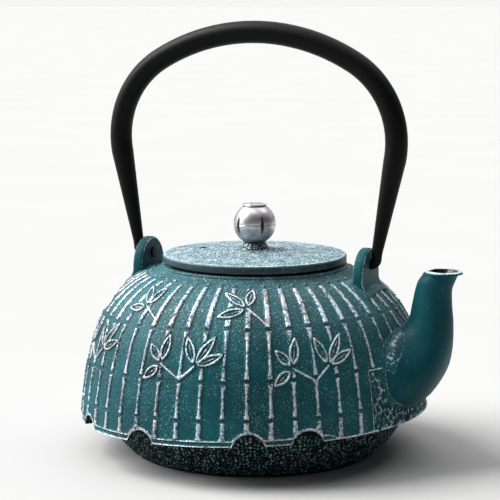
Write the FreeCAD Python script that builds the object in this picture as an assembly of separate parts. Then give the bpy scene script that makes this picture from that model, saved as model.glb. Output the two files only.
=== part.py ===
import FreeCAD, Part
import os
from math import acos, asin, atan2, cos, degrees, hypot, pi, radians, sin, sqrt

# Cast iron teapot with a ball-knobbed lid, a steel infuser and a swinging bail handle.
# Millimetres. Z is up, the spout points along +X, the origin is the middle of the foot's ground face.

Vector = FreeCAD.Vector
UP = Vector(0, 0, 1)
CENTRE = Vector(0, 0, 0)
over = 2.0                      # how far a cutting solid runs past the face it opens

# Pot, outside
belly_radius = 80.4             # widest ring
belly_height = 12.0             # height of that ring
flank_arc_radius = 145.5        # slow curve of the side wall
shoulder_arc_radius = 45.0      # round shoulder, tangent to the side wall
rim_height = 86.2
neck_height = 1.2               # the rim's upright edge above the shoulder
wall = 4.0

# Mouth
mouth_radius = 35.0
ledge_width = 4.0               # ledge that the infuser hangs on
ledge_depth = 2.2
rim_wall = 4.0
mouth_collar_depth = 3.5        # iron under the ledge

# Foot, skirt and the groove behind the skirt
foot_radius = 56.0
foot_bulge = 2.0                # how far the foot's flank swells past a straight line
floor_thickness = 5.0
foot_wall = 4.5
inner_floor_radius = 53.0
skirt_thickness = 3.8
skirt_groove_width = 4.2
skirt_groove_top = 26.0
skirt_edge_height = 18.5        # mean height of the skirt's lower edge
skirt_edge_rise = 3.4           # the edge climbs by this much towards the spout
notch_radius = 7.3
notch_drop = 1.9                # the scallops are struck from this far below the edge
notch_angles = (52.0, 70.5, 107.0, 137.0, 180.0, -137.0, -107.0, -70.5, -52.0)

# Spout, root to mouth: past the belly ring, share of the rise, lean from level,
# half height, half width, bore radius
spout_root_height = 41.0
spout_above_rim = 1.4
spout_stations = (
    (-16.0, 0.0, 16.0, 16.5, 30.0, 13.0),
    (-4.0, 0.098, 40.0, 14.2, 25.0, 10.5),
    (-0.6, 0.183, 56.0, 13.0, 20.0, 9.4),
    (1.8, 0.295, 71.0, 11.7, 14.5, 8.4),
    (3.9, 0.513, 86.0, 9.9, 10.3, 6.8),
    (4.3, 0.688, 90.0, 8.8, 8.8, 5.7),
    (5.3, 0.852, 90.0, 8.15, 8.15, 5.0),
    (6.9, 0.93, 90.0, 8.4, 8.4, 5.1),
    (9.2, 1.0, 90.0, 8.6, 8.6, 5.4),
)
oval_least = 0.001              # a round section is an oval wider than high by this

# Lid
lid_inset = 0.7                 # lid's edge inside the neck
lid_gap = 1.4                   # open line between the pot's rim and the lid's edge
lid_edge = 3.3
lid_crown = 2.1
lid_plate = 3.8                 # iron under the middle of the crown
lid_seat_clearance = 1.0
lid_ring_depth = 6.3            # locating ring below the seat
lid_ring_wall = 3.2
lid_ring_clearance = 0.8
vent_radius = 2.3
vent_reach = 25.0               # vent's distance from the lid's middle
vent_angle = -176.0
collar_foot_radius = 6.75
collar_top_radius = 5.0
collar_height = 3.1

# Knob and its rivet
knob_radius = 9.7
knob_shell = 1.2
knob_play = 0.25                # the ball turns freely on its collar and under its cap
knob_seat_lip = 0.1             # the ball's lower flat past the collar's top
knob_top_lip = 0.1              # the ball's upper flat past the cap
slit_count = 5
slit_length = 9.0
slit_width = 1.8
slit_angle = -46.8
rivet_radius = 2.4
rivet_fit = 0.05
cap_radius = 5.5
cap_thickness = 1.0
petal_radius = 1.0
petal_reach = 4.0
petal_depth = 0.4
rivet_head_lip = 0.4            # head past the rivet's shank
rivet_head_height = 0.5
washer_lip = 2.4                # washer past the rivet's closed foot
washer_thickness = 1.0
rivet_foot_lip = 1.4
rivet_foot_height = 1.6

# Ears
ear_gap = 9.0                   # from the lid's edge to the ear's inner face
ear_thickness = 4.7
ear_radius = 13.0
ear_centre_below_rim = 3.2      # the ear's round top is struck from here
ear_root_depth = 12.0           # sides run this far down into the shoulder
ear_flare = 3.0                 # the outer face spreads by this much towards its foot
ear_flare_height = 6.0
ear_flare_below_rim = 4.2

# Bail handle
hinge_above_rim = 2.5
bar_radius = 5.07
bar_end_radius = 2.3
pin_clearance = 0.3
leg_clearance = 0.4             # between a leg and the ear's outer face
pin_reach = 0.8                 # the hook's tip stands this far inside the ear
elbow_inner_radius = 0.3
handle_rise = 103.1             # hinge to the middle of the bar at the top of the arch
handle_bulge = 8.6              # how far the bar swells out past its legs
corner_radius = 41.5
arch_crown = 7.1                # top of the arch above the corners' circles
leg_foot_arc_radius = 22.0
leg_sections = 5                # circles that the leg's foot arc is drawn through

# Infuser
infuser_depth = 48.0
infuser_sheet = 0.6
infuser_clearance = 0.9         # infuser band inside the mouth
infuser_rim_clearance = 0.4     # infuser flange inside the rim
infuser_band = 5.0              # height of the bands at the wall's top and foot
sheet_fit = 0.05
hole_radius = 1.0
hole_edge = 2.5                 # plain sheet between a band and the nearest holes
hole_row_pitch = 4.2
hole_column_pitch = 6.5
floor_hole_pitch = 5.2

# Heights and radii that follow from the sizes above
neck_radius = mouth_radius + ledge_width + rim_wall
shoulder_top = rim_height - neck_height
ledge_height = rim_height - ledge_depth
spout_rise = rim_height + spout_above_rim - spout_root_height
skirt_inner_radius = belly_radius - skirt_thickness
groove_inner_radius = skirt_inner_radius - skirt_groove_width
base_height = skirt_groove_top - skirt_groove_width / 2
lid_radius = neck_radius - lid_inset
lid_under = rim_height + lid_gap
lid_edge_top = lid_under + lid_edge
lid_top = lid_edge_top + lid_crown
lid_seat = ledge_height + infuser_sheet
collar_top = lid_top + collar_height
knob_seat_radius = collar_top_radius + knob_seat_lip
knob_top_radius = cap_radius + knob_top_lip
knob_flat_below = sqrt(knob_radius ** 2 - knob_seat_radius ** 2)
knob_flat_above = sqrt(knob_radius ** 2 - knob_top_radius ** 2)
knob_height = collar_top + knob_play + knob_flat_below
cap_under = knob_height + knob_flat_above + knob_play
rivet_head_radius = rivet_radius + rivet_head_lip
rivet_foot_radius = rivet_radius + rivet_foot_lip
washer_radius = rivet_foot_radius + washer_lip
ear_inner = lid_radius + ear_gap
ear_outer = ear_inner + ear_thickness
ear_centre = rim_height - ear_centre_below_rim
hinge_height = rim_height + hinge_above_rim
leg_reach = ear_outer + leg_clearance + bar_end_radius
elbow_radius = bar_end_radius + elbow_inner_radius
infuser_outer = mouth_radius - infuser_clearance
infuser_wall_outer = infuser_outer - infuser_sheet - sheet_fit
infuser_wall_inner = infuser_wall_outer - infuser_sheet
infuser_floor_top = ledge_height - infuser_depth
lid_ring_outer = infuser_wall_inner - lid_ring_clearance


def at(point):
    """Point of an outline, given as distance from the axis and height."""
    return Vector(point[0], 0, point[1])


def line(start, end):
    return Part.LineSegment(at(start), at(end)).toShape()


def arc(start, middle, end):
    return Part.Arc(at(start), at(middle), at(end)).toShape()


def on_circle(centre, radius, angle):
    return (centre[0] + radius * cos(angle), centre[1] + radius * sin(angle))


def angle_to(centre, point):
    return atan2(point[1] - centre[1], point[0] - centre[0])


def arc_about(centre, radius, start_angle, end_angle):
    stops = (start_angle, (start_angle + end_angle) / 2, end_angle)
    return arc(*[on_circle(centre, radius, angle) for angle in stops])


def polyline(points):
    return [line(start, end) for start, end in zip(points, points[1:])]


def outward(shape):
    """The same solid with its faces turned outwards, whichever way its outline was drawn."""
    return Part.makeSolid(shape.Shells[0])


def turned(edges):
    """Solid of revolution about the Z axis from a closed outline."""
    return outward(Part.Face(Part.Wire(edges)).revolve(CENTRE, UP, 360))


def lofted(sections):
    return outward(Part.makeLoft(sections, True, False))


def tube(inner, outer, low, high):
    ring = Part.makeCylinder(outer, high - low, Vector(0, 0, low))
    return ring.cut(Part.makeCylinder(inner, high - low + 2 * over, Vector(0, 0, low - over)))


def disc(radius, low, high):
    return Part.makeCylinder(radius, high - low, Vector(0, 0, low))


def around(shape, angle):
    copy = shape.copy()
    copy.rotate(CENTRE, UP, angle)
    return copy


def shoulder_centre():
    """Centre of the shoulder's arc: tangent inside the side wall's arc, and through the neck's foot."""
    neck = (neck_radius, shoulder_top)
    to_flank = flank_arc_radius - shoulder_arc_radius
    span = hypot(neck[0] - flank_centre[0], neck[1] - flank_centre[1])
    along = (to_flank ** 2 - shoulder_arc_radius ** 2 + span ** 2) / (2 * span)
    aside = sqrt(to_flank ** 2 - along ** 2)
    unit = ((neck[0] - flank_centre[0]) / span, (neck[1] - flank_centre[1]) / span)
    return (flank_centre[0] + along * unit[0] + aside * unit[1],
            flank_centre[1] + along * unit[1] - aside * unit[0])


flank_centre = (belly_radius - flank_arc_radius, belly_height)
shoulder_middle = shoulder_centre()
shoulder_start_angle = angle_to(flank_centre, shoulder_middle)


def flank_radius(height):
    """Radius of the side wall at a height, below the shoulder."""
    return flank_centre[0] + sqrt(flank_arc_radius ** 2 - (height - flank_centre[1]) ** 2)


def wall_arcs(start, inset, end_point):
    """Side wall and shoulder as two tangent arcs, moved inwards by inset."""
    flank = arc_about(flank_centre, flank_arc_radius - inset,
                      angle_to(flank_centre, start), shoulder_start_angle)
    shoulder = arc_about(shoulder_middle, shoulder_arc_radius - inset,
                         shoulder_start_angle, angle_to(shoulder_middle, end_point))
    return [flank, shoulder]


def foot_flank(inset):
    """Start, middle and end of the foot's swelling flank, moved inwards by inset."""
    low = (foot_radius, 0.0)
    high = (groove_inner_radius, base_height)
    chord = hypot(high[0] - low[0], high[1] - low[1])
    normal = ((high[1] - low[1]) / chord, -(high[0] - low[0]) / chord)
    push = foot_bulge - inset
    middle = ((low[0] + high[0]) / 2 + push * normal[0], (low[1] + high[1]) / 2 + push * normal[1])
    return low, middle, high


def pot_outside():
    skirt_low = skirt_edge_height - skirt_edge_rise - over
    low, middle, high = foot_flank(0.0)
    groove_crown = ((groove_inner_radius + skirt_inner_radius) / 2, skirt_groove_top)
    skirt_inside = (skirt_inner_radius, high[1])
    neck = (neck_radius, shoulder_top)
    edges = [line((0, 0), low), arc(low, middle, high), arc(high, groove_crown, skirt_inside)]
    edges += polyline([skirt_inside, (skirt_inner_radius, skirt_low), (flank_radius(skirt_low), skirt_low)])
    edges += wall_arcs((flank_radius(skirt_low), skirt_low), 0.0, neck)
    edges += polyline([neck, (neck_radius, rim_height), (0, rim_height), (0, 0)])
    return turned(edges)


def pot_inside():
    _, middle, high = foot_flank(foot_wall)
    bowl_start = (inner_floor_radius, floor_thickness)
    bowl_end = (high[0] - foot_wall, high[1])
    groove_angle = asin((skirt_groove_top - flank_centre[1]) / flank_arc_radius)
    wall_start = on_circle(flank_centre, flank_arc_radius - wall, (groove_angle + shoulder_start_angle) / 2)
    collar_low = ledge_height - mouth_collar_depth
    inner_shoulder = shoulder_arc_radius - wall
    collar_root = (shoulder_middle[0] + sqrt(inner_shoulder ** 2 - (collar_low - shoulder_middle[1]) ** 2),
                   collar_low)
    edges = [line((0, floor_thickness), bowl_start), arc(bowl_start, middle, bowl_end)]
    edges.append(line(bowl_end, wall_start))
    edges += wall_arcs(wall_start, wall, collar_root)
    recess = mouth_radius + ledge_width
    edges += polyline([collar_root, (mouth_radius, collar_low), (mouth_radius, ledge_height),
                       (recess, ledge_height), (recess, rim_height + over), (0, rim_height + over),
                       (0, floor_thickness)])
    return turned(edges)


def spout_section(station, half_height, half_width):
    """Oval across the spout at one station, its long axis level."""
    past_belly, rise_share, lean = station[:3]
    height = spout_root_height + rise_share * spout_rise
    centre = Vector(belly_radius + past_belly, 0, height)
    across = Vector(-sin(radians(lean)), 0, cos(radians(lean)))
    level = max(half_width, half_height + oval_least)
    oval = Part.Ellipse(centre + Vector(0, level, 0), centre + across * half_height, centre)
    return Part.Wire([oval.toShape(0, pi), oval.toShape(pi, 2 * pi)])


def spout_outside():
    return lofted([spout_section(row, row[3], row[4]) for row in spout_stations])


def spout_bore():
    """Channel through the spout, run on past the mouth."""
    last = spout_stations[-1]
    beyond = (last[0], last[1] + over / spout_rise) + last[2:]
    rows = spout_stations + (beyond,)
    return lofted([spout_section(row, row[5], row[5]) for row in rows])


def ear():
    """Round-topped plate on the spout's side."""
    low = ear_centre - ear_root_depth
    left_low, left_top, crown, right_top, right_low = [
        Vector(ear_inner, side, height) for side, height in (
            (ear_radius, low), (ear_radius, ear_centre), (0, ear_centre + ear_radius),
            (-ear_radius, ear_centre), (-ear_radius, low))]
    outline = [Part.LineSegment(left_low, left_top), Part.Arc(left_top, crown, right_top),
               Part.LineSegment(right_top, right_low), Part.LineSegment(right_low, left_low)]
    face = Part.Face(Part.Wire([edge.toShape() for edge in outline]))
    return face.extrude(Vector(ear_thickness, 0, 0)).fuse(ear_spread())


def ear_spread():
    """Wedge on the ear's outer face that spreads it towards the shoulder."""
    top = rim_height - ear_flare_below_rim
    low = top - ear_flare_height
    corners = [Vector(ear_outer, -ear_radius, top), Vector(ear_outer + ear_flare, -ear_radius, low),
               Vector(ear_outer, -ear_radius, low)]
    face = Part.Face(Part.makePolygon(corners + corners[:1]))
    return face.extrude(Vector(0, 2 * ear_radius, 0))


def hinge_bore():
    start = Vector(ear_inner - over, 0, hinge_height)
    length = ear_thickness + 2 * over
    return Part.makeCylinder(bar_end_radius + pin_clearance, length, start, Vector(1, 0, 0))


def skirt_trim():
    """Everything of the skirt below its slanting edge."""
    ring = tube(skirt_inner_radius - skirt_groove_width / 2, belly_radius + over, 0, skirt_groove_top)
    size = 4 * belly_radius
    below = Part.makeBox(size, size, size, Vector(-size / 2, -size / 2, -size))
    below.rotate(CENTRE, Vector(0, 1, 0), -degrees(atan2(skirt_edge_rise, belly_radius)))
    below.translate(Vector(0, 0, skirt_edge_height))
    return ring.common(below)


def notch(angle):
    """Round scallop through the skirt's edge."""
    height = skirt_edge_height - notch_drop + skirt_edge_rise * cos(radians(angle))
    start = skirt_inner_radius - skirt_groove_width / 2
    length = belly_radius + over - start
    return around(Part.makeCylinder(notch_radius, length, Vector(start, 0, height), Vector(1, 0, 0)), angle)


def pot_wall():
    """The pot's wall from the foot to the rim, with its ragged skirt, without spout and ears."""
    trims = [pot_inside(), spout_bore(), skirt_trim()]
    return pot_outside().cut(trims + [notch(angle) for angle in notch_angles])


def base_zone():
    """Room that the base bowl takes up, out to the middle of the groove behind the skirt."""
    return disc((groove_inner_radius + skirt_inner_radius) / 2, -over, base_height)


def pot_body():
    return pot_wall().cut(base_zone())


def pot_base():
    return pot_wall().common(base_zone())


def spout():
    return spout_outside().cut([pot_outside(), spout_bore()])


def ear_at(angle):
    return around(ear().cut([pot_outside(), hinge_bore()]), angle)


def lid():
    hole = rivet_radius + rivet_fit
    seat_radius = mouth_radius + ledge_width - lid_seat_clearance
    ring_inner = lid_ring_outer - lid_ring_wall
    ring_low = lid_seat - lid_ring_depth
    plate_under = lid_top - lid_plate
    crown_radius = (lid_radius ** 2 + lid_crown ** 2) / (2 * lid_crown)
    crown_centre = (0, lid_top - crown_radius)
    edge_angle = angle_to(crown_centre, (lid_radius, lid_edge_top))
    collar_angle = acos(collar_foot_radius / crown_radius)
    collar_foot = on_circle(crown_centre, crown_radius, collar_angle)
    edges = polyline([collar_foot, (collar_top_radius, collar_top), (hole, collar_top), (hole, plate_under),
                      (ring_inner, plate_under), (ring_inner, ring_low), (lid_ring_outer, ring_low),
                      (lid_ring_outer, lid_seat), (seat_radius, lid_seat), (seat_radius, lid_under),
                      (lid_radius, lid_under), (lid_radius, lid_edge_top)])
    edges.append(arc_about(crown_centre, crown_radius, edge_angle, collar_angle))
    vent = Part.makeCylinder(vent_radius, lid_top - ring_low, Vector(vent_reach, 0, ring_low))
    return turned(edges).cut(around(vent, vent_angle))


def slit(angle):
    """Lens-shaped slot through the knob's shell."""
    inner = knob_radius / 2
    ends = [Vector(inner, 0, knob_height + side * slit_length / 2) for side in (1, -1)]
    sides = [Vector(inner, side * slit_width / 2, knob_height) for side in (1, -1)]
    outline = [Part.Arc(ends[0], sides[0], ends[1]), Part.Arc(ends[1], sides[1], ends[0])]
    face = Part.Face(Part.Wire([edge.toShape() for edge in outline]))
    return around(face.extrude(Vector(knob_radius, 0, 0)), angle)


def knob_shell_between(low, high):
    middle = Vector(0, 0, knob_height)
    ball = Part.makeSphere(knob_radius, middle).cut(Part.makeSphere(knob_radius - knob_shell, middle))
    half = ball.common(disc(knob_radius + over, low, high))
    slits = [slit(slit_angle + turn * 360 / slit_count) for turn in range(slit_count)]
    return half.cut(slits + [disc(rivet_radius + rivet_fit, low - over, high + over)])


def knob_cap():
    cap_top = cap_under + cap_thickness
    petals = [around(Part.makeCylinder(petal_radius, petal_depth + over,
                                       Vector(petal_reach, 0, cap_top - petal_depth)),
                     slit_angle + turn * 360 / slit_count) for turn in range(slit_count)]
    hole = disc(rivet_radius + rivet_fit, cap_under - over, cap_top + over)
    return disc(cap_radius, cap_under, cap_top).cut(petals + [hole])


def domed(radius, height, base, side):
    """Low dome on a flat base: a rivet's head (side 1) or its closed foot (side -1)."""
    crown = (radius ** 2 + height ** 2) / (2 * height)
    centre = Vector(0, 0, base + side * (height - crown))
    low = min(base, base + side * height)
    return Part.makeSphere(crown, centre).common(disc(radius, low, low + height))


def knob_rivet():
    cap_top = cap_under + cap_thickness
    washer_under = lid_top - lid_plate - washer_thickness
    head = domed(rivet_head_radius, rivet_head_height, cap_top, 1)
    foot = domed(rivet_foot_radius, rivet_foot_height, washer_under, -1)
    return disc(rivet_radius, washer_under, cap_top).fuse([head, foot])


def rivet_washer():
    top = lid_top - lid_plate
    return tube(rivet_radius + rivet_fit, washer_radius, top - washer_thickness, top)


def handle_path():
    """Circles that the bar's middle line follows on one side, and the angles where it leaves them."""
    corner_centre = (leg_reach + handle_bulge - corner_radius,
                     hinge_height + handle_rise - arch_crown - corner_radius)
    corner_drop = corner_radius + arch_crown
    arch_radius = (corner_centre[0] ** 2 + corner_drop ** 2 - corner_radius ** 2) / (2 * arch_crown)
    arch_centre = (0, hinge_height + handle_rise - arch_radius)
    corner_start = angle_to(arch_centre, corner_centre)
    foot_centre = (leg_reach + leg_foot_arc_radius, hinge_height + elbow_radius)
    span = hypot(foot_centre[0] - corner_centre[0], foot_centre[1] - corner_centre[1])
    lean = -angle_to(corner_centre, foot_centre) - acos((corner_radius + leg_foot_arc_radius) / span)
    return arch_centre, arch_radius, corner_centre, corner_start, foot_centre, lean


def round_bar(edges, start, direction, radius):
    section = Part.Wire(Part.Circle(at(start), direction, radius).toShape())
    return Part.Wire(edges).makePipeShell([section], True, False)


def bail_leg():
    """One half of the handle: arch and corner of even thickness, tapering leg, elbow and hook."""
    arch_centre, arch_radius, corner_centre, corner_start, foot_centre, lean = handle_path()
    top = (0, hinge_height + handle_rise)
    arch = [arc_about(arch_centre, arch_radius, pi / 2, corner_start),
            arc_about(corner_centre, corner_radius, corner_start, -lean)]
    upper = round_bar(arch, top, Vector(1, 0, 0), bar_radius)

    # The leg tapers evenly down its straight run and round the foot's arc
    run_start = on_circle(corner_centre, corner_radius, -lean)
    run_end = on_circle(foot_centre, leg_foot_arc_radius, pi - lean)
    run = hypot(run_end[0] - run_start[0], run_end[1] - run_start[1])
    foot_length = leg_foot_arc_radius * lean

    def leg_section(point, slope, still_to_go):
        radius = bar_end_radius + (bar_radius - bar_end_radius) * still_to_go / (run + foot_length)
        heading = Vector(-sin(slope), 0, -cos(slope))
        return Part.Wire(Part.Circle(at(point), heading, radius).toShape())

    leg_top = leg_section(run_start, lean, run + foot_length)
    foot = []
    for step in range(leg_sections):
        left = 1 - step / (leg_sections - 1)
        point = on_circle(foot_centre, leg_foot_arc_radius, pi - lean * left)
        foot.append(leg_section(point, lean * left, foot_length * left))
    leg = [outward(Part.makeLoft([leg_top, foot[0]], True, True)), lofted(foot)]

    elbow_centre = (leg_reach - elbow_radius, foot_centre[1])
    hook = [arc_about(elbow_centre, elbow_radius, 0, -pi / 2),
            line((elbow_centre[0], hinge_height), (ear_inner - pin_reach, hinge_height))]
    lower = round_bar(hook, (leg_reach, foot_centre[1]), Vector(0, 0, -1), bar_end_radius)
    return upper.fuse(leg + [lower])


def bail_handle():
    return bail_leg().fuse(around(bail_leg(), 180)).removeSplitter()


def infuser_rim():
    """Flange that hangs on the ledge, with a band round the wall's top."""
    flange_radius = mouth_radius + ledge_width - infuser_rim_clearance
    flange_top = ledge_height + infuser_sheet
    band_inner = infuser_outer - infuser_sheet
    band_low = ledge_height - infuser_band
    return turned(polyline([(infuser_wall_inner, ledge_height), (band_inner, ledge_height),
                            (band_inner, band_low), (infuser_outer, band_low),
                            (infuser_outer, ledge_height), (flange_radius, ledge_height),
                            (flange_radius, flange_top), (infuser_wall_inner, flange_top),
                            (infuser_wall_inner, ledge_height)]))


def infuser_wall():
    """Perforated sleeve, its rows of holes staggered."""
    margin = infuser_band + hole_edge
    rows = 1 + int((infuser_depth - 2 * margin) / hole_row_pitch)
    columns = int(2 * pi * infuser_wall_outer / hole_column_pitch)
    holes = []
    for row in range(rows):
        height = infuser_floor_top + margin + row * hole_row_pitch
        drill = Part.makeCylinder(hole_radius, infuser_sheet + 2 * over,
                                  Vector(infuser_wall_inner - over, 0, height), Vector(1, 0, 0))
        for column in range(columns):
            holes.append(around(drill, (column + row % 2 / 2) * 360 / columns))
    return tube(infuser_wall_inner, infuser_wall_outer, infuser_floor_top, ledge_height).cut(holes)


def infuser_floor():
    """Shallow perforated cup round the wall's foot."""
    under = infuser_floor_top - infuser_sheet
    cup_top = infuser_floor_top + infuser_band
    cup = disc(infuser_outer, under, cup_top)
    cup = cup.cut(disc(infuser_outer - infuser_sheet, infuser_floor_top, cup_top + over))
    rings = int((infuser_wall_inner - hole_edge) / floor_hole_pitch)
    holes = []
    for ring in range(1, rings + 1):
        radius = ring * floor_hole_pitch
        count = round(2 * pi * radius / floor_hole_pitch)
        drill = Part.makeCylinder(hole_radius, infuser_sheet + 2 * over, Vector(radius, 0, under - over))
        holes += [around(drill, step * 360 / count) for step in range(count)]
    return cup.cut(holes)


parts = {
    "pot_body": pot_body(),
    "pot_base": pot_base(),
    "spout": spout(),
    "ear_front": ear_at(0),
    "ear_rear": ear_at(180),
    "lid": lid(),
    "knob_lower_shell": knob_shell_between(knob_height - knob_flat_below, knob_height),
    "knob_upper_shell": knob_shell_between(knob_height, knob_height + knob_flat_above),
    "knob_cap": knob_cap(),
    "knob_rivet": knob_rivet(),
    "rivet_washer": rivet_washer(),
    "bail_handle": bail_handle(),
    "infuser_rim": infuser_rim(),
    "infuser_wall": infuser_wall(),
    "infuser_floor": infuser_floor(),
}

os.makedirs("parts", exist_ok=True)
for name, shape in parts.items():
    shape.exportStep("parts/" + name + ".step")
    print(name, len(shape.Solids), "solid", round(shape.Volume / 1000, 2), "cm3", shape.isValid())
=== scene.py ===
from math import acos, asin, atan2, cos, hypot, pi, radians, sin, sqrt

import bpy
import numpy as np
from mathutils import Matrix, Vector
from mathutils.bvhtree import BVHTree


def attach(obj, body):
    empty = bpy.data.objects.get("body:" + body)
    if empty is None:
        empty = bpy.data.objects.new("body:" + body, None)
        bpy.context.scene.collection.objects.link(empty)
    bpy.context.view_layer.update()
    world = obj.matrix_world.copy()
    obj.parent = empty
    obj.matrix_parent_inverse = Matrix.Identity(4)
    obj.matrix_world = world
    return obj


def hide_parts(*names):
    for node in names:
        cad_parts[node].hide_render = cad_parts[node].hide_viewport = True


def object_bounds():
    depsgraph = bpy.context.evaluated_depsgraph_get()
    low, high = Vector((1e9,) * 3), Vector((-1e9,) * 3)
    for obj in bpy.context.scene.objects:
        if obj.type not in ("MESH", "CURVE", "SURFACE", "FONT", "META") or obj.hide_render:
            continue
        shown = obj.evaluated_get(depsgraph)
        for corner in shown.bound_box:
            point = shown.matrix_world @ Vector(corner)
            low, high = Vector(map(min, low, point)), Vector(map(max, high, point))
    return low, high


# Looks of a teal cast iron teapot with bamboo relief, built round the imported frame.
# Sizes are in millimetres and become metres when a mesh is made.
# Turns are degrees round the pot's axis, from the spout, anticlockwise seen from above.

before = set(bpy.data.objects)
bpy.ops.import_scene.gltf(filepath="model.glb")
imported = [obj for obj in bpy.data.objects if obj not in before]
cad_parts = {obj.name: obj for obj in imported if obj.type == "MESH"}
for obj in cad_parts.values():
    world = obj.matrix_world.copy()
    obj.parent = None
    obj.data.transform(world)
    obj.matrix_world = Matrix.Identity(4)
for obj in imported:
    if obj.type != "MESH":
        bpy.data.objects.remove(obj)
cad_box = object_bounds()
MM = 0.001
cad_low, cad_high = (np.array(corner) / MM for corner in cad_box)

# Pot, as in the frame
belly_radius = 80.4
belly_height = 12.0
flank_arc = 145.5
shoulder_arc = 45.0
rim_height = 86.2
rim_round = 0.5
rim_silver = 0.3
neck_radius = 43.0
neck_height = 1.2
wall_thickness = 4.0
recess_radius = 39.0
recess_round = 0.4
ledge_height = 84.0
mouth_radius = 35.0
collar_low = 80.5
floor_height = 5.0
inner_floor_radius = 53.0
foot_wall = 4.5
foot_radius = 56.0
foot_bulge = 2.0
groove_inner = 72.4
groove_height = 23.9
groove_top = 26.0
skirt_inner = 76.6
skirt_edge_height = 18.5
skirt_edge_rise = 3.4
notch_radius = 7.3
notch_drop = 1.9  # the scallops are struck from below the edge
notch_turns = (52.0, 70.5, 107.0, 137.0, 180.0, -137.0, -107.0, -70.5, -52.0)
edge_round = 0.6

# Spout, as in the frame: past the belly ring, height above the root, lean from level,
# half height, half width, bore radius
spout_root_height = 41.0
spout_stations = (
    (-16.0, 0.0, 16.0, 16.5, 30.0, 13.0),
    (-4.0, 4.57, 40.0, 14.2, 25.0, 10.5),
    (-0.6, 8.53, 56.0, 13.0, 20.0, 9.4),
    (1.8, 13.75, 71.0, 11.7, 14.5, 8.4),
    (3.9, 23.91, 86.0, 9.9, 10.3, 6.8),
    (4.3, 32.06, 90.0, 8.8, 8.8, 5.7),
    (5.3, 39.7, 90.0, 8.15, 8.15, 5.0),
    (6.9, 43.34, 90.0, 8.4, 8.4, 5.1),
    (9.2, 46.6, 90.0, 8.6, 8.6, 5.4),
)
spout_root_square = 0.8  # how much squarer than an oval the root is
spout_root_end = 24.0  # height above the root where it is oval
spout_blend = 7.0  # the spout runs into the wall over this distance
spout_lip_round = 1.1
spout_lip = 0.6  # bead round the mouth, above a slimmer waist
spout_lip_height = 1.1
spout_lip_edge = 0.5
spout_waist_end = 5.5
spout_waist_fade = 4.0
lip_silver = 1.05
lip_silver_low = 0.55  # starts this far below the mouth
lip_silver_fade = 0.3
bore_flare = 0.4
spout_columns = 160
spout_rows = 140

# Raised oval pad that the spout springs from
pad_turn = 21.5
pad_middle = 44.0
pad_up = 17.0
pad_down = 14.7
pad_power = 2.7
pad_edge = 2.2
pad_swell = 6.0
pad_edge_share = 0.1  # shares are of the way from the pad's outline to its middle
pad_clear_share = 0.07
pad_clear_fade = 0.06
pad_specks = 0.2
pad_specks_band = (0.05, 0.15, 0.4)  # rise, start of the fall, fall
pad_edge_silver = 0.55
pad_edge_band = (0.06, 0.05, 0.25)
pad_edge_climb = 8.0  # the edge turns bright over this height above the pad's middle
pad_line_silver = 0.8
pad_bare = 0.3  # nearer the spout than this the pad has the spout's smooth paint

# Ears, as in the frame
ear_inner = 51.3
ear_outer = 56.0
ear_radius = 13.0
ear_centre = 83.0
ear_low = 71.0
ear_round = 1.2
ear_flare = 3.0  # the outer face spreads towards its foot
ear_flare_top = 82.0
ear_flare_height = 6.0
ear_flare_power = 1.5
ear_blend = 4.0  # the wall swells up to the ears over this distance
ear_edge_silver = 1.8
ear_side_silver = 0.1
ear_arch_points = 30  # points on half the round top, and down a straight side
ear_side_points = 16
hinge_height = 88.7
hinge_hole = 2.6

# Lid, as in the frame
lid_radius = 42.3
lid_under = 87.6
lid_under_round = 0.5
lid_edge_top = 90.9
lid_edge_round = 0.9
lid_edge_lift = 0.05
lid_top = 93.0
lid_plate_under = 89.2
lid_seat = 84.6
lid_seat_radius = 38.0
lid_ring_inner = 28.85
lid_ring_outer = 32.05
lid_ring_low = 78.3
lid_hole = 2.45
vent_radius = 2.3
vent_reach = 25.0
vent_turn = -176.0
lid_swirl = 2.3  # worm-like ripples run round points this far apart
lid_ripple = 1.05
lid_ripple_depth = 0.3
lid_ripple_level = 0.7
lid_edge_fade = 1.5  # the ripples fade at the lid's edge and at the collar
collar_clear = 0.5
collar_fade = 1.0
lid_silver = 0.25
lid_ripple_silver = 0.55
lid_edge_silver = 0.9
# Silver up the lid's side, with painted shade low on the side where the marks are below zero
lid_side_silver_and_shade = (0.4, 0.5, -0.5, -0.7)  # up the lid's side, which ends bright
collar_foot = 6.75
collar_gap = 0.6
collar_top_radius = 5.0
collar_top = 96.1
collar_around = 36
collar_up = 3.2
collar_rough = 0.25
collar_speck = 0.27
# Painted shade on the collar under the knob, between its silver specks
collar_painted_shade = -0.8

# Knob and its cap, as in the frame
knob_radius = 9.7
knob_shell = 1.2
knob_play = 0.25
knob_flat_low = 5.1
knob_flat_high = 5.6
knob_seam = 0.12
knob_seam_fade = 0.15
slit_count = 5
slit_length = 9.0
slit_width = 1.8
slit_turn = -46.8
cap_radius = 5.5
cap_thickness = 1.0
cap_round = 0.5
cap_chamfer = 0.4
petal_reach = 4.0
petal_radius = 1.0
petal_depth = 0.4
petal_edge = 0.4

# Handle, as in the frame
leg_reach = 58.7
bar_radius = 5.07
bar_end_radius = 2.3
elbow_radius = 2.6
handle_rise = 103.1
handle_bulge = 8.6
corner_radius = 41.5
arch_crown = 7.1
leg_foot_arc = 22.0
pin_end = 50.5

# Fineness of the meshes
pot_columns = 1200
wall_rows = 212
foot_rows = 44
inner_columns = 240
lid_columns = 720
lid_rows = 84
collar_rows = 14
knob_columns = 240
knob_rows = 60
cap_columns = 160
cap_rows = 24
rod_columns = 48
notch_columns = 72
round_points = 6
lid_edge_points = 8
slit_points = 25
arch_points = 40
corner_points = 60
leg_points = 30
leg_foot_points = 16
elbow_points = 14
floor_columns = 96
crease_angle = 38.0
cut_beyond = 2.0  # what cuts a hole reaches this far past it

# Where each random pattern starts
dimple_seed = 3
pebble_seed = 5
knot_seed = 7
swirl_seed = 11
swirl_shift = 40
collar_seed = 13
grain_seed = 17

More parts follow.
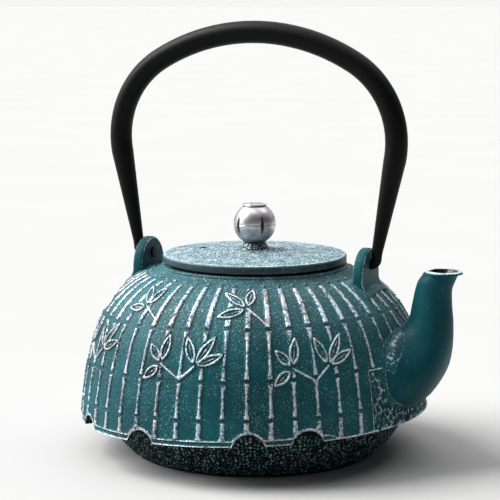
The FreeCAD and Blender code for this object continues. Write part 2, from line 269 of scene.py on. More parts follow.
# Floor, camera, and lights by their direction as the camera sees it, spread and strength
floor_rings = (40000.0, 9000.0, 2000.0, 400.0, 100.0)
camera_place = (291.2, -745.1, 207.0)
camera_down = 8.164
camera_turn = 21.5
camera_lens = 126.5
camera_sensor = 36.0
room_strength = 0.12
lights = {
    "window": ((-0.8, 0.12, 0.76), 45.0, 5.4),
    "ceiling": ((0.05, 0.22, 1.0), 80.0, 2.1),
    "bounce": ((-1.0, 0.08, 0.1), 60.0, 1.6),
}


# Meshes


class Shell:
    """Rings of points and the faces between them, while one piece is put together."""

    def __init__(self):
        self.points = []
        self.silver = []
        self.faces = []
        self.kinds = []
        self.size = 0

    def rows(self, points, kind=0, silver=0.0):
        """Adds rings points[row, column], each joined to the next, and returns the points' numbers."""
        count, columns = points.shape[:2]
        numbers = self.size + np.arange(count * columns).reshape(count, columns)
        self.points.append(points.reshape(-1, 3))
        self.silver.append(np.broadcast_to(silver, (count, columns)).reshape(-1))
        self.size += count * columns
        for low, high, row_kind in zip(numbers, numbers[1:], np.broadcast_to(kind, (count - 1, columns))):
            self.join(low, high, row_kind)
        return numbers

    def turned(self, profile, turns, kind=0, silver=0.0):
        """Adds rings round the pot's axis, from a profile of radii and heights."""
        radius, height = np.asarray(profile).T[..., None]
        return self.rows(ring_points(radius, height, turns), kind, silver)

    def closed_rows(self, points, kind=0, silver=0.0):
        """Adds rings and closes both ends."""
        numbers = self.rows(points, kind, silver)
        self.close(numbers[0], kind, True)
        self.close(numbers[-1], kind)

    def join(self, low, high, kind=0):
        """Faces between two rings. The first may have several points to each one of the second."""
        ratio = len(low) // len(high)
        starts = np.arange(len(high)) * ratio
        along = [low[(starts + step) % len(low)] for step in range(ratio + 1)]
        self.add(np.stack(along + [np.roll(high, -1), high], 1), kind)

    def spread(self, low, high, kind=0):
        """Faces between a ring and one with several points to each of its own."""
        ratio = len(high) // len(low)
        starts = np.arange(len(low)) * ratio
        along = [high[(starts + step) % len(high)] for step in range(ratio, -1, -1)]
        self.add(np.stack([low, np.roll(low, -1)] + along, 1), kind)

    def close(self, ring, kind=0, turned=False):
        self.add(ring[None, ::-1] if turned else ring[None, :], kind)

    def close_across(self, ring, kind=0, turned=False):
        """Closes a ring that is alike on both sides of its first point, with strips from side to side."""
        half = len(ring) // 2
        one = ring[1:half + 1]
        other = ring[:half:-1]
        tip = np.array([[other[0], ring[0], one[0]]])
        strips = np.stack([other[1:], other[:-1], one[:-1], one[1:]], 1)
        for faces in (tip, strips):
            self.add(faces[:, ::-1] if turned else faces, kind)

    def add(self, faces, kind):
        self.faces.append(faces)
        self.kinds.append(np.broadcast_to(kind, len(faces)))

    def build(self, name, *materials):
        mesh = bpy.data.meshes.new(name)
        points = np.concatenate(self.points) * MM
        corners = np.concatenate([faces.ravel() for faces in self.faces])
        totals = np.concatenate([np.full(len(faces), faces.shape[1]) for faces in self.faces])
        mesh.vertices.add(len(points))
        mesh.vertices.foreach_set("co", points.astype(np.float32).ravel())
        mesh.loops.add(len(corners))
        mesh.loops.foreach_set("vertex_index", corners.astype(np.int32))
        mesh.polygons.add(len(totals))
        mesh.polygons.foreach_set("loop_start", (np.cumsum(totals) - totals).astype(np.int32))
        mesh.polygons.foreach_set("material_index", np.concatenate(self.kinds).astype(np.int32))
        # The silver mark holds silver rubbed on, and painted shade where it is below zero
        for mark, values in (("silver", np.concatenate(self.silver)), ("made", np.ones(len(points)))):
            layer = mesh.attributes.new(mark, "FLOAT", "POINT")
            layer.data.foreach_set("value", values.astype(np.float32))
        for material in materials:
            mesh.materials.append(material)
        mesh.update(calc_edges=True)
        obj = bpy.data.objects.new(name, mesh)
        bpy.context.scene.collection.objects.link(obj)
        return obj


def ring_points(radius, height, turns):
    """Points at a radius and a height, which may differ from turn to turn."""
    radius, height, angle = np.broadcast_arrays(radius, height, np.radians(turns))
    return np.stack([radius * np.cos(angle), radius * np.sin(angle), height], -1)


def in_box(points):
    """Points held inside the frame's box."""
    return np.clip(points, cad_low, cad_high)


def turns_of(columns):
    return np.arange(columns) * 360.0 / columns


def values_of(items, name, width=1):
    """One value of each of a mesh's items, or several side by side."""
    values = np.empty((len(items), width), np.float32)
    items.foreach_get(name, values.ravel())
    return values


def combine(target, tool, operation):
    """Joins or cuts target with tool, which goes."""
    modifier = target.modifiers.new("combine", "BOOLEAN")
    modifier.object = tool
    modifier.operation = operation
    modifier.solver = "MANIFOLD"
    modifier.material_mode = "TRANSFER"
    bpy.context.view_layer.update()
    evaluated = target.evaluated_get(bpy.context.evaluated_depsgraph_get())
    mesh = bpy.data.meshes.new_from_object(evaluated)
    target.modifiers.clear()
    target.data = mesh
    bpy.data.objects.remove(tool)


def finish_mesh(mesh, worn, worn_below):
    """Rubs bright the edges that joins and cuts made up to a height, and shades the mesh smooth
    between sharp edges."""
    made, silver = (values_of(mesh.attributes[mark].data, "value")[:, 0] for mark in ("made", "silver"))
    height = values_of(mesh.vertices, "co", 3)[:, 2]
    silver[(made < 0.5) & (height < worn_below * MM)] = worn
    mesh.attributes["silver"].data.foreach_set("value", silver)
    mesh.attributes.remove(mesh.attributes["made"])
    mesh.shade_smooth()
    mesh.set_sharp_from_angle(angle=radians(crease_angle))


def piece(obj, body, slot, *nodes, worn=0.0, worn_below=0.0):
    """Finishes a piece and hands it to the frame: the body it rides on and the nodes it stands
    for. The slot is not used."""
    finish_mesh(obj.data, worn, worn_below)
    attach(obj, body)
    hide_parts(*nodes)


# Numbers that patterns are drawn from

far_away = 99.0
pattern_squares = 97


def soft_step(value, width):
    """0 below zero, 1 above width and smooth between."""
    share = np.clip(value / width, 0.0, 1.0)
    return share * share * (3.0 - 2.0 * share)


def soft_band(value, rise, fall_start, fall):
    """0 below zero, 1 after a rise and 0 again after a fall."""
    return soft_step(value, rise) * (1 - soft_step(value - fall_start, fall))


def wrapped(turns):
    return (turns + 180.0) % 360.0 - 180.0


def scattered(across, along, seed, round_count=pattern_squares):
    """Distances to the nearest and next nearest of points scattered one to each unit square.
    The pattern repeats after round_count squares across."""
    spots = np.random.default_rng(seed).uniform(0.1, 0.9, (round_count, pattern_squares, 2))
    across, along = np.broadcast_arrays(across, along)
    nearest = np.full(across.shape, far_away)
    second = np.full(across.shape, far_away)
    square_across = np.floor(across).astype(int)
    square_along = np.floor(along).astype(int)
    for step_across in (-1, 0, 1):
        for step_along in (-1, 0, 1):
            column = square_across + step_across
            row = square_along + step_along
            spot = spots[column % round_count, row % pattern_squares]
            away = np.hypot(column + spot[..., 0] - across, row + spot[..., 1] - along)
            second = np.minimum(second, np.maximum(nearest, away))
            nearest = np.minimum(nearest, away)
    return nearest, second


def through(knots, values, at):
    """Smooth curve through values at knots, read at other places."""
    slopes = np.gradient(values, knots, axis=0)
    span = np.clip(np.searchsorted(knots, at, side="right") - 1, 0, len(knots) - 2)
    width = (knots[span + 1] - knots[span])[:, None]
    share = (at - knots[span])[:, None] / width
    start = values[span] * (1 + 2 * share) + slopes[span] * width * share
    end = values[span + 1] * (3 - 2 * share) + slopes[span + 1] * width * (share - 1)
    return start * (1 - share) ** 2 + end * share ** 2


def arc(centre, radius, start, end, count):
    """Points on a circle from one angle to another."""
    angles = np.linspace(start, end, count)
    return np.stack([centre[0] + radius * np.cos(angles), centre[1] + radius * np.sin(angles)], -1)


def arc_through(low, middle, high, count):
    """Points on the circle through three points, from the first to the last."""
    (ax, ay), (bx, by), (cx, cy) = low, middle, high
    twice = 2 * (ax * (by - cy) + bx * (cy - ay) + cx * (ay - by))
    square = [x * x + y * y for x, y in (low, middle, high)]
    centre_x = (square[0] * (by - cy) + square[1] * (cy - ay) + square[2] * (ay - by)) / twice
    centre_y = (square[0] * (cx - bx) + square[1] * (ax - cx) + square[2] * (bx - ax)) / twice
    first = atan2(ay - centre_y, ax - centre_x)
    sweep = (atan2(cy - centre_y, cx - centre_x) - first + pi) % (2 * pi) - pi
    return arc((centre_x, centre_y), hypot(ax - centre_x, ay - centre_y), first, first + sweep, count)


def corner(centre, radius, start, end, count=round_points):
    """Radii and heights on a small round, from one angle to another in degrees."""
    return arc(centre, radius, radians(start), radians(end), count)


# The pot's side wall: a slow arc that runs into a round shoulder


def shoulder_circle():
    neck = (neck_radius, rim_height - neck_height)
    reach = flank_arc - shoulder_arc
    span = hypot(neck[0] - flank_centre[0], neck[1] - flank_centre[1])
    along = (reach ** 2 - shoulder_arc ** 2 + span ** 2) / (2 * span)
    aside = sqrt(reach ** 2 - along ** 2)
    unit = ((neck[0] - flank_centre[0]) / span, (neck[1] - flank_centre[1]) / span)
    return (flank_centre[0] + along * unit[0] + aside * unit[1],
            flank_centre[1] + along * unit[1] - aside * unit[0])


flank_centre = (belly_radius - flank_arc, belly_height)
shoulder_centre = shoulder_circle()
tangent_angle = atan2(shoulder_centre[1] - flank_centre[1], shoulder_centre[0] - flank_centre[0])
tangent_along = flank_arc * tangent_angle
tangent_height = belly_height + flank_arc * sin(tangent_angle)
neck_angle = atan2(rim_height - neck_height - shoulder_centre[1], neck_radius - shoulder_centre[0])
neck_along = tangent_along + shoulder_arc * (neck_angle - tangent_angle)


def wall(along, out=0.0):
    """Radius and height at a way along the wall from the belly ring, and out from its surface."""
    on_flank = along < tangent_along
    angle = np.where(on_flank, along / flank_arc, tangent_angle + (along - tangent_along) / shoulder_arc)
    reach = np.where(on_flank, flank_arc, shoulder_arc) + out
    centre_radius = np.where(on_flank, flank_centre[0], shoulder_centre[0])
    centre_height = np.where(on_flank, flank_centre[1], shoulder_centre[1])
    return centre_radius + reach * np.cos(angle), centre_height + reach * np.sin(angle)


def along_at(height):
    """Way along the wall at which it has a height."""
    height = np.asarray(height, float)
    flank = flank_arc * np.arcsin(np.clip((height - belly_height) / flank_arc, -1, 1))
    angle = np.arcsin(np.clip((height - shoulder_centre[1]) / shoulder_arc, -1, 1))
    return np.where(height < tangent_height, flank, tangent_along + shoulder_arc * (angle - tangent_angle))


def edge_height(turns):
    """Height of the skirt's slanting lower edge."""
    return skirt_edge_height + skirt_edge_rise * np.cos(np.radians(turns))


def edge_along(turns):
    """Way along the wall to the skirt's edge."""
    return along_at(edge_height(turns))


# Bamboo relief on the wall

stalk_count = 48
stalk_pitch = 360.0 / stalk_count
stalk_start = 3.9
stalk_top = 81.4
stub_span = (82.6, 84.2)
stub_half = 0.9
stub_silver = 0.6
knot_heights = (67.0, 45.9, 29.3)
knot_sway = (2.5, 2.8, 3.1)  # the rows of knots climb towards the spout, as the skirt's edge does
knot_gap = 0.65
knot_jitter = np.random.default_rng(knot_seed).uniform(-0.6, 0.6, (stalk_count, 3))
knot_cap = 2.0  # a stalk is raised higher this near a knot
knot_cap_fade = 0.6
stalk_half = 0.85
stalk_end_half = 0.6  # added at a segment's ends
top_half = (1.4, 1.15)  # top segment, from its foot to its tip
foot_half = 1.15
foot_flare = 1.3
foot_flare_fade = 0.9
border_offset = 2.6  # ground line above the skirt's edge
border_round_notch = 0.9
border_half = 0.42
border_single = (40.0, 46.0)  # towards the spout the ground line joins the edge
edge_rubbed = 0.9
stalk_silver = 0.82
stalk_silver_fade = 0.5
stalk_outside = 0.3  # a stalk's slope starts this far outside its outline
stalk_slope = 1.1
cap_slope = 0.4

leaf_start = 1.7
leaf_half = 2.05
leaf_power = 0.85
leaf_line = 0.58  # half width of a leaf's outline
leaf_clear = 0.7
vein_half = 0.34
vein_ends = (0.12, 0.25)  # shares of the blade without a vein, at its foot and its tip
branch_half = 0.62
branch_joint = 1.2

fork_stalks = range(-19, 24, 6)
fork_skipped = -1  # the spout is there
fork_base = 34.8
fork_left = ((-7.4, 5.9), ((-40, 10.4), (11, 13.5), (-130, 11.3)))
fork_right = ((4.7, 6.0), ((-22, 13.8), (29, 15.6), (64, 13.6)))
single_stalks = (-21, -15, -9, 9, 15, 21)
single_base = 59.5
single_clusters = (((-7.2, 9.0), ((-44, 13.2), (-110, 14.5), (15, 12.3))),
                   ((-8.0, 5.8), ((-103, 11.8), (-28, 13.0), (16, 12.7))))
spray_half = 30.0  # a spray lies within this of its foot, and of a middle above it
spray_middle = 8.0
spray_reach = 24.0

apron_turn = 28.5  # pebbled field under the spout
apron_height = 48.0
apron_line = 0.4
apron_corner = 13.0
apron_climb = 4.0  # the field's upper line climbs on to the pad
apron_clear = 0.8
pebble_size = 1.7
pebble_depth = 0.9
pebble_level = 0.75
pebble_fade = 3.0
pebble_seam = 0.55
pebble_power = 0.7
pebble_fall = 0.4
pebble_ring = 66.0
dimple_size = 2.5
dimple_tall = 1.4  # dimples are taller than wide, and lean
dimple_lean = 0.35
dimple_half = 0.28
dimple_fade = 0.16
# How strongly painted shade darkens the dimples' pits
dimple_painted_shade = 1.4
dimpled_clear = 0.6  # dimples fade in this far inside the field's line, and above the ground line
dimpled_fade = 1.0
dimpled_low_fade = 0.8
ridge_half = 0.22
ridge_fade = 0.3
ridge_silver = 0.6

ground = -0.5
stalk_rise = 0.75
cap_rise = 0.18
leaf_rise = 0.75
vein_rise = 0.4
border_rise = 0.55
edge_rise = 0.3
dimple_depth = 0.8
grain = 0.05
relief_clear = 3.0  # the relief is gone this near the spout and the ears
relief_fade = 2.0


def stalk_depth(turns, along, radius, border):
    """Depth inside the bamboo stalks' outlines, and nearness to a knot."""
    number = np.round((turns - stalk_start) / stalk_pitch)
    middle = stalk_start + number * stalk_pitch
    aside = np.abs(np.radians(turns - middle)) * radius
    jitter = knot_jitter[number.astype(int) % stalk_count]
    climb = np.cos(np.radians(middle))
    knots = [along_at(height + sway * climb) + jitter[..., row]
             for row, (height, sway) in enumerate(zip(knot_heights, knot_sway))]

    def share_of(low, high):
        return np.clip((along - low) / (high - low), 0, 1)

    def segment(half, above_low, high):
        return np.minimum(half - aside, np.minimum(above_low, high - along))

    foot = knots[0] + knot_gap
    half = top_half[0] + (top_half[1] - top_half[0]) * share_of(foot, stalk_top)
    found = [segment(half, along - foot, stalk_top)]
    for low_knot, high_knot in zip(knots[1:], knots):
        low = low_knot + knot_gap
        high = high_knot - knot_gap
        half = stalk_half + stalk_end_half * np.abs(2 * share_of(low, high) - 1) ** 4
        found.append(segment(half, along - low, high))
    half = foot_half + foot_flare * np.exp(-np.maximum(border, 0) / foot_flare_fade)
    found.append(segment(half, border, knots[2] - knot_gap))
    found.append(segment(stub_half, along - stub_span[0], stub_span[1]))
    return np.maximum.reduce(found), np.minimum.reduce([np.abs(along - knot) for knot in knots])


def leaf_depth(x, y, lean, length):
    """Depth inside a pointed leaf's outline, and inside its vein, from its stem's end."""
    lean = radians(lean)
    far = x * sin(lean) + y * cos(lean)
    aside = np.abs(x * cos(lean) - y * sin(lean))
    blade = length - leaf_start

    def half_at(share):
        return leaf_half * np.sin(pi * np.clip(share, 0, 1) ** leaf_power) ** leaf_power

    share = (far - leaf_start) / blade
    step = 0.02
    slope = (half_at(share + step) - half_at(share - step)) / (2 * step * blade)
    beyond = np.maximum(np.maximum(leaf_start - far, far - length), 0)
    depth = (half_at(share) - aside) / np.sqrt(1 + slope ** 2) - beyond
    vein = np.minimum.reduce([vein_half - aside, far - leaf_start - vein_ends[0] * blade,
                              length - vein_ends[1] * blade - far])
    return depth, vein


def line_depth(x, y, end, half):
    """Depth inside a straight stroke that starts at the origin."""
    share = np.clip((x * end[0] + y * end[1]) / (end[0] ** 2 + end[1] ** 2), 0, 1)
    return half - np.hypot(x - share * end[0], y - share * end[1])


def sprays():
    """Each spray of leaves: its foot's turn and way along the wall, and its clusters."""
    found = []
    for stalk in fork_stalks:
        if stalk != fork_skipped:
            found.append((stalk_start + stalk * stalk_pitch, fork_base, (fork_left, fork_right)))
    for number, stalk in enumerate(single_stalks):
        cluster = single_clusters[number % 2]
        found.append((stalk_start + stalk * stalk_pitch, single_base, (cluster,)))
    return found


def spray_depths(turns, along, radius):
    """Depths inside the leaves, inside their outlines and the branches, and inside the veins."""
    depths = np.full((3,) + turns.shape, -far_away)
    for foot_turn, foot_along, clusters in sprays():
        away = np.radians(wrapped(turns - foot_turn)) * radius
        near = (np.abs(away) < spray_half) & (np.abs(along - foot_along - spray_middle) < spray_reach)
        x = away[near]
        y = along[near] - foot_along
        radius_there = wall(np.array(foot_along))[0]
        found = depths[:, near]
        for (reach_turn, rise), leaves in clusters:
            tip = (radians(reach_turn) * radius_there, rise)
            joint = branch_joint - np.hypot(x - tip[0], y - tip[1])
            found[:2] = np.maximum(found[:2], [joint, line_depth(x, y, tip, branch_half)])
            for lean, length in leaves:
                depth, vein = leaf_depth(x - tip[0], y - tip[1], lean, length)
                outline = leaf_line - np.abs(depth - leaf_line / 2)
                found = np.maximum(found, [depth + leaf_clear, outline, vein])
        depths[:, near] = found
    return depths


def border_depths(turns, along):
    """Way above the ground line that rounds the notches, and above the skirt's edge itself."""
    edge = along - edge_along(turns)
    single = soft_step(np.abs(wrapped(turns)) - border_single[0], border_single[1] - border_single[0])
    ground_line = edge - border_offset * single
    for turn in notch_turns:
        x = np.radians(wrapped(turns - turn)) * belly_radius
        away = np.hypot(x, along - edge_along(turn) + notch_drop) - notch_radius
        ground_line = np.minimum(ground_line, away - border_round_notch)
        edge = np.minimum(edge, away)
    return ground_line, edge


def relief(turns, along):
    """Height of the casting's pattern above the wall, how much silver is rubbed on it (painted shade in the
    pits is below zero), and the line that runs on over the spout's pad."""
    radius = wall(along)[0]
    turns = wrapped(turns)
    border, edge = border_depths(turns, along)
    stalks, near_knot = stalk_depth(turns, along, radius, border)
    field, lines, veins = spray_depths(turns, along, radius)

    on_pad = np.clip((pad_turn - np.abs(turns)) / (pad_turn - apron_corner), 0, 1)
    apron_top = along_at(apron_height + apron_climb * on_pad)
    in_apron = np.minimum((apron_turn - np.abs(turns)) * radians(1) * radius, apron_top - along)
    apron_edge = np.where(np.abs(turns) > apron_corner, apron_line - np.abs(in_apron), -far_away)
    stalks = np.minimum(stalks, np.minimum(-field, -in_apron - apron_clear))

    around = round(2 * pi * belly_radius / dimple_size)
    up = along / (dimple_tall * dimple_size)
    nearest, second = scattered(turns / 360.0 * around + dimple_lean * up, up, dimple_seed, around)
    dimpled = soft_step(in_apron - dimpled_clear, dimpled_fade) * soft_step(border, dimpled_low_fade)
    dimples = dimpled * (1 - soft_step(nearest - dimple_half, dimple_fade))
    ridges = dimpled * (1 - soft_step(second - nearest - ridge_half, ridge_fade))

    caps = soft_step(stalks, cap_slope) * soft_step(knot_cap - near_knot, knot_cap_fade)
    raised = stalk_rise * soft_step(stalks + stalk_outside, stalk_slope) + cap_rise * caps
    silver = soft_step(stalks + 0.05, stalk_silver_fade)
    silver = silver * np.where(along > stub_span[0], stub_silver, stalk_silver)

    # Depth inside a stroke, its rise, how far outside that starts, its slope's width, silver and its fade
    strokes = (
        (lines, leaf_rise, 0.12, 0.42, 1.0, 0.3),
        (veins, vein_rise, 0.1, 0.3, 0.8, 0.22),
        (border_half - np.abs(border), border_rise, 0.1, 0.45, 0.95, 0.3),
        (apron_edge, border_rise, 0.1, 0.4, 0.95, 0.3),
        (edge_rubbed - edge, edge_rise, 0.0, 0.8, 1.0, 0.5),
    )
    for depth, rise, outside, slope, shine, shine_fade in strokes:
        raised = np.maximum(raised, rise * soft_step(depth + outside, slope))
        silver = np.maximum(silver, shine * soft_step(depth, shine_fade))
    # The dimples' pits go below zero, for painted shade
    silver = np.maximum(silver, ridge_silver * ridges) - dimple_painted_shade * dimples
    uneven = np.random.default_rng(grain_seed).normal(0, grain, raised.shape)
    pad_line = soft_step(apron_edge, 0.3) * soft_step(on_pad, 0.1)
    return ground + raised - dimple_depth * dimples + uneven, silver, pad_line


def pebble(across, along, round_count):
    """Domes packed side by side, 0 in the seams and 1 on their tops."""
    nearest, second = scattered(across, along, pebble_seed, round_count)
    domes = np.clip((second - nearest) / pebble_seam, 0, 1) ** pebble_power
    return domes * (1 - pebble_fall * nearest)


# Materials


def srgb(red, green, blue):
    """Colour as it reads on a screen, 0 to 255, for a shader."""
    shares = [value / 255 for value in (red, green, blue)]
    return tuple(c / 12.92 if c <= 0.04045 else ((c + 0.055) / 1.055) ** 2.4 for c in shares) + (1.0,)


class Nodes:
    """A tree of shader nodes, with short calls to add them."""

    def __init__(self, tree):
        self.tree = tree

    def node(self, kind, inputs=None, **settings):
        made = self.tree.nodes.new(kind)
        for key, value in settings.items():
            setattr(made, key, value)
        for key, value in (inputs or {}).items():
            self.feed(made.inputs[key], value)
        return made

    def feed(self, socket, value):
        if isinstance(value, bpy.types.NodeSocket):
            self.tree.links.new(value, socket)
        else:
            socket.default_value = value

    def ramp(self, value, low, high, start=0.0, end=1.0):
        """start where value is low or less, end where it is high or more."""
        ends = {"Value": value, "From Min": low, "From Max": high, "To Min": start, "To Max": end}
        return self.node("ShaderNodeMapRange", ends, interpolation_type="SMOOTHSTEP").outputs["Result"]


class Finish(Nodes):
    """A material's nodes."""

    def __init__(self, name, roughness=0.5, metallic=0.0, gloss=0.5):
        self.material = bpy.data.materials.new(name)
        self.material.use_nodes = True
        super().__init__(self.material.node_tree)
        self.shader = self.tree.nodes["Principled BSDF"]
        self.shader.inputs["Roughness"].default_value = roughness
        self.shader.inputs["Metallic"].default_value = metallic
        self.shader.inputs["Specular IOR Level"].default_value = gloss
        self.place = self.node("ShaderNodeTexCoord").outputs["Object"]

    def noise(self, size, detail=2.0, stretch=(1, 1, 1)):
        """Cloudy pattern of a size in millimetres, which may be stretched."""
        mapping = self.node("ShaderNodeMapping", {"Vector": self.place, "Scale": stretch})
        inputs = {"Vector": mapping.outputs["Vector"], "Scale": 1 / (size * MM), "Detail": detail}
        return self.node("ShaderNodeTexNoise", inputs).outputs["Fac"]

    def height(self):
        return self.node("ShaderNodeSeparateXYZ", {"Vector": self.place}).outputs["Z"]

    def mark(self, name):
        return self.node("ShaderNodeAttribute", attribute_name=name).outputs["Fac"]

    def math(self, operation, first, second):
        return self.node("ShaderNodeMath", {0: first, 1: second}, operation=operation).outputs[0]

    def plus(self, first, second):
        return self.math("ADD", first, second)

    def times(self, first, second):
        return self.math("MULTIPLY", first, second)

    def swing(self, pattern, size):
        """A cloudy pattern's ups and downs about zero."""
        return self.times(self.math("SUBTRACT", pattern, 0.5), size)

    def mix(self, share, first, second):
        """first where share is 0, second where it is 1."""
        return self.node("ShaderNodeMix", {0: share, 6: first, 7: second}, data_type="RGBA").outputs[2]

    def bump(self, height, depth):
        """Fine unevenness, its depth in millimetres."""
        made = self.node("ShaderNodeBump", {"Height": height, "Distance": depth * MM})
        self.feed(self.shader.inputs["Normal"], made.outputs["Normal"])

    def paint(self, colour, roughness=None, metallic=None):
        for name, value in (("Base Color", colour), ("Roughness", roughness), ("Metallic", metallic)):
            if value is not None:
                self.feed(self.shader.inputs[name], value)
        return self.material


rubbed_silver = srgb(198, 194, 199)
cool_silver = srgb(206, 220, 228)
# Near-black teal for painted shade: in the dimples' pits, on the knob's collar and low on the lid's side
painted_shade_colour = srgb(3, 14, 16)
painted_sheen_colour = srgb(140, 176, 182)  # painted sheen that makes the paint paler towards the shoulder
# Heights over which the painted sheen and denser silver specks come in towards the shoulder
sheen_and_specks_low = 48.0
sheen_and_specks_high = 84.0
painted_sheen_share = 0.1
teal_dark = srgb(6, 60, 67)
teal_light = srgb(16, 81, 88)

cloud_size = 22.0
patch_size = 9.0
wear_size = 6.0
sand_size = 1.1
speck_size = 0.62


def painted_iron(name, dark, light, silver, rub, specks, grain_depth, gloss, dull=0.5, sheen_and_specks=0.0):
    """Teal paint over sand-cast iron, with silver rubbed on what stands proud, a painted sheen towards the
    shoulder and painted shade where the silver mark is below zero.
    """
    finish = Finish(name, gloss=gloss)
    clouds = finish.noise(cloud_size, 3.0)
    sand = finish.noise(sand_size)
    fine = finish.noise(speck_size, 1.0)
    # The silver mark holds silver rubbed on, and painted shade where it is below zero
    mark = finish.mark("silver")
    # Towards the shoulder the paint takes on a painted sheen, and its silver specks grow denser
    upper_sheen_and_specks = finish.ramp(finish.height(), sheen_and_specks_low * MM, sheen_and_specks_high * MM, 0.0, sheen_and_specks)
    base = finish.mix(finish.ramp(clouds, 0.3, 0.7), dark, light)
    base = finish.mix(finish.ramp(sand, 0.4, 0.75, 0.0, 0.45), base, light)
    base = finish.mix(finish.times(upper_sheen_and_specks, painted_sheen_share), base, painted_sheen_colour)
    # Painted shade where the silver mark is below zero
    base = finish.mix(finish.ramp(mark, -0.15, -0.8, 0.0, 0.85), base, painted_shade_colour)
    patches = finish.plus(finish.ramp(finish.noise(patch_size), 0.3, 0.62), upper_sheen_and_specks)
    spots = finish.times(finish.ramp(fine, 0.59, 0.69), finish.times(patches, specks))
    uneven = finish.plus(finish.swing(sand, 1.7), finish.swing(finish.noise(wear_size), 0.8))
    rubbed = finish.times(finish.ramp(finish.plus(uneven, mark), 0.42, 1.0), rub)
    shade = finish.mix(finish.ramp(clouds, 0.4, 0.6), silver, cool_silver)
    bright = finish.math("MAXIMUM", rubbed, spots)
    finish.bump(finish.plus(sand, finish.times(fine, 0.5)), grain_depth)
    return finish.paint(finish.mix(rubbed, finish.mix(spots, base, cool_silver), shade),
                        finish.ramp(bright, 0.0, 1.0, dull, 0.38), finish.times(bright, 0.45))


def dark_pebbles():
    """Nearly black, pebbled iron of the foot, with pale worn tops."""
    finish = Finish("dark_pebbled_iron", gloss=0.06)
    sand = finish.noise(1.2)
    base = finish.mix(finish.noise(14.0, 3.0), srgb(2, 10, 12), srgb(6, 24, 27))
    worn = finish.ramp(finish.plus(finish.swing(sand, 2.4), finish.mark("silver")), 0.55, 1.25, 0.0, 0.62)
    finish.bump(sand, 0.25)
    return finish.paint(finish.mix(worn, base, srgb(150, 190, 196)), finish.ramp(worn, 0.0, 0.6, 0.5, 0.4))


def black_enamel():
    """Glossy black inside the pot and under the lid."""
    finish = Finish("black_enamel")
    clouds = finish.noise(6.0, 3.0)
    finish.bump(finish.noise(2.5), 0.08)
    return finish.paint(finish.mix(clouds, srgb(18, 18, 19), srgb(34, 34, 36)),
                        finish.ramp(clouds, 0.3, 0.7, 0.18, 0.32))


def satin_silver():
    """Silver plate, brushed round the ball, with dull patches."""
    finish = Finish("satin_silver", metallic=1.0)
    brushed = finish.noise(0.5, stretch=(0.12, 0.12, 1.0))
    dull = finish.noise(5.0)
    tone = finish.mix(finish.ramp(dull, 0.35, 0.7), srgb(206, 202, 204), srgb(164, 158, 162))
    finish.bump(brushed, 0.03)
    return finish.paint(finish.mix(finish.ramp(brushed, 0.4, 0.75, 0.0, 0.35), tone, srgb(140, 136, 140)),
                        finish.ramp(dull, 0.3, 0.75, 0.3, 0.42))


def plain_steel(name, pale, dull):
    finish = Finish(name, metallic=1.0)
    brushed = finish.noise(0.6, stretch=(1.0, 1.0, 0.1))
    finish.bump(brushed, 0.02)
    return finish.paint(finish.mix(finish.times(brushed, finish.noise(9.0)), pale, dull),
                        finish.ramp(brushed, 0.3, 0.7, 0.26, 0.4))


def satin_black():
    """Black paint on the handle, faintly grained."""
    finish = Finish("satin_black", gloss=0.1)
    fine = finish.noise(0.6)
    finish.bump(fine, 0.05)
    return finish.paint(finish.mix(finish.noise(18.0, 3.0), srgb(3, 3, 4), srgb(7, 7, 8)),
                        finish.ramp(fine, 0.3, 0.7, 0.4, 0.5))


pot_paint = painted_iron("teal_cast_iron", teal_dark, teal_light, rubbed_silver, rub=0.85, specks=0.25,
                         grain_depth=0.25, gloss=0.12, sheen_and_specks=0.8)
ear_paint = painted_iron("teal_ear_iron", teal_dark, teal_light, rubbed_silver, rub=0.85, specks=0.12,
                         grain_depth=0.2, gloss=0.1)
spout_paint = painted_iron("teal_satin_iron", srgb(5, 56, 62), srgb(10, 68, 76), cool_silver, rub=0.9,
                           specks=0.03, grain_depth=0.05, gloss=0.09, dull=0.46)
lid_paint = painted_iron("teal_hammered_iron", srgb(56, 94, 102), srgb(80, 116, 124), cool_silver, rub=0.85,
                         specks=0.2, grain_depth=0.15, gloss=0.3)
foot_paint = dark_pebbles()
enamel = black_enamel()
silver_plate = satin_silver()
rivet_steel = plain_steel("rivet_steel", srgb(176, 174, 174), srgb(120, 118, 118))
infuser_steel = plain_steel("infuser_steel", srgb(196, 196, 196), srgb(140, 140, 142))
black_paint = satin_black()

WALL, FOOT, ENAMEL, SPOUT, EAR = range(5)
pot_materials = (pot_paint, foot_paint, enamel, spout_paint, ear_paint)


# Spout, ears and what is cut out of the pot


def spout_course():
    """Centre, lean, half height, half width and bore radius along the spout."""
    table = np.array(spout_stations)
    steps = np.hypot(np.diff(table[:, 0]), np.diff(table[:, 1]))
    ways = np.concatenate([[0.0], np.cumsum(steps)])
    course = through(ways, table, np.linspace(0, ways[-1], spout_rows))
    course[:, :2] += (belly_radius, spout_root_height)
    return course


def spout_rings(course, half_height, half_width):
    turn = np.radians(turns_of(spout_columns))
    lean = np.radians(course[:, 2])
    across = np.stack([-np.sin(lean), 0 * lean, np.cos(lean)], -1)
    centre = np.stack([course[:, 0], 0 * lean, course[:, 1]], -1)
    level = np.array([0.0, 1.0, 0.0])
    rise = (course[:, 1] - spout_root_height) / spout_root_end
    power = 2 / (2 + spout_root_square * (1 - soft_step(rise, 1.0)))[:, None]
    aside = np.sign(np.cos(turn)) * np.abs(np.cos(turn)) ** power
    up = np.sign(np.sin(turn)) * np.abs(np.sin(turn)) ** power
    return (centre[:, None] + level * (half_width[:, None] * aside)[..., None]
            + across[:, None] * (half_height[:, None] * up)[..., None])


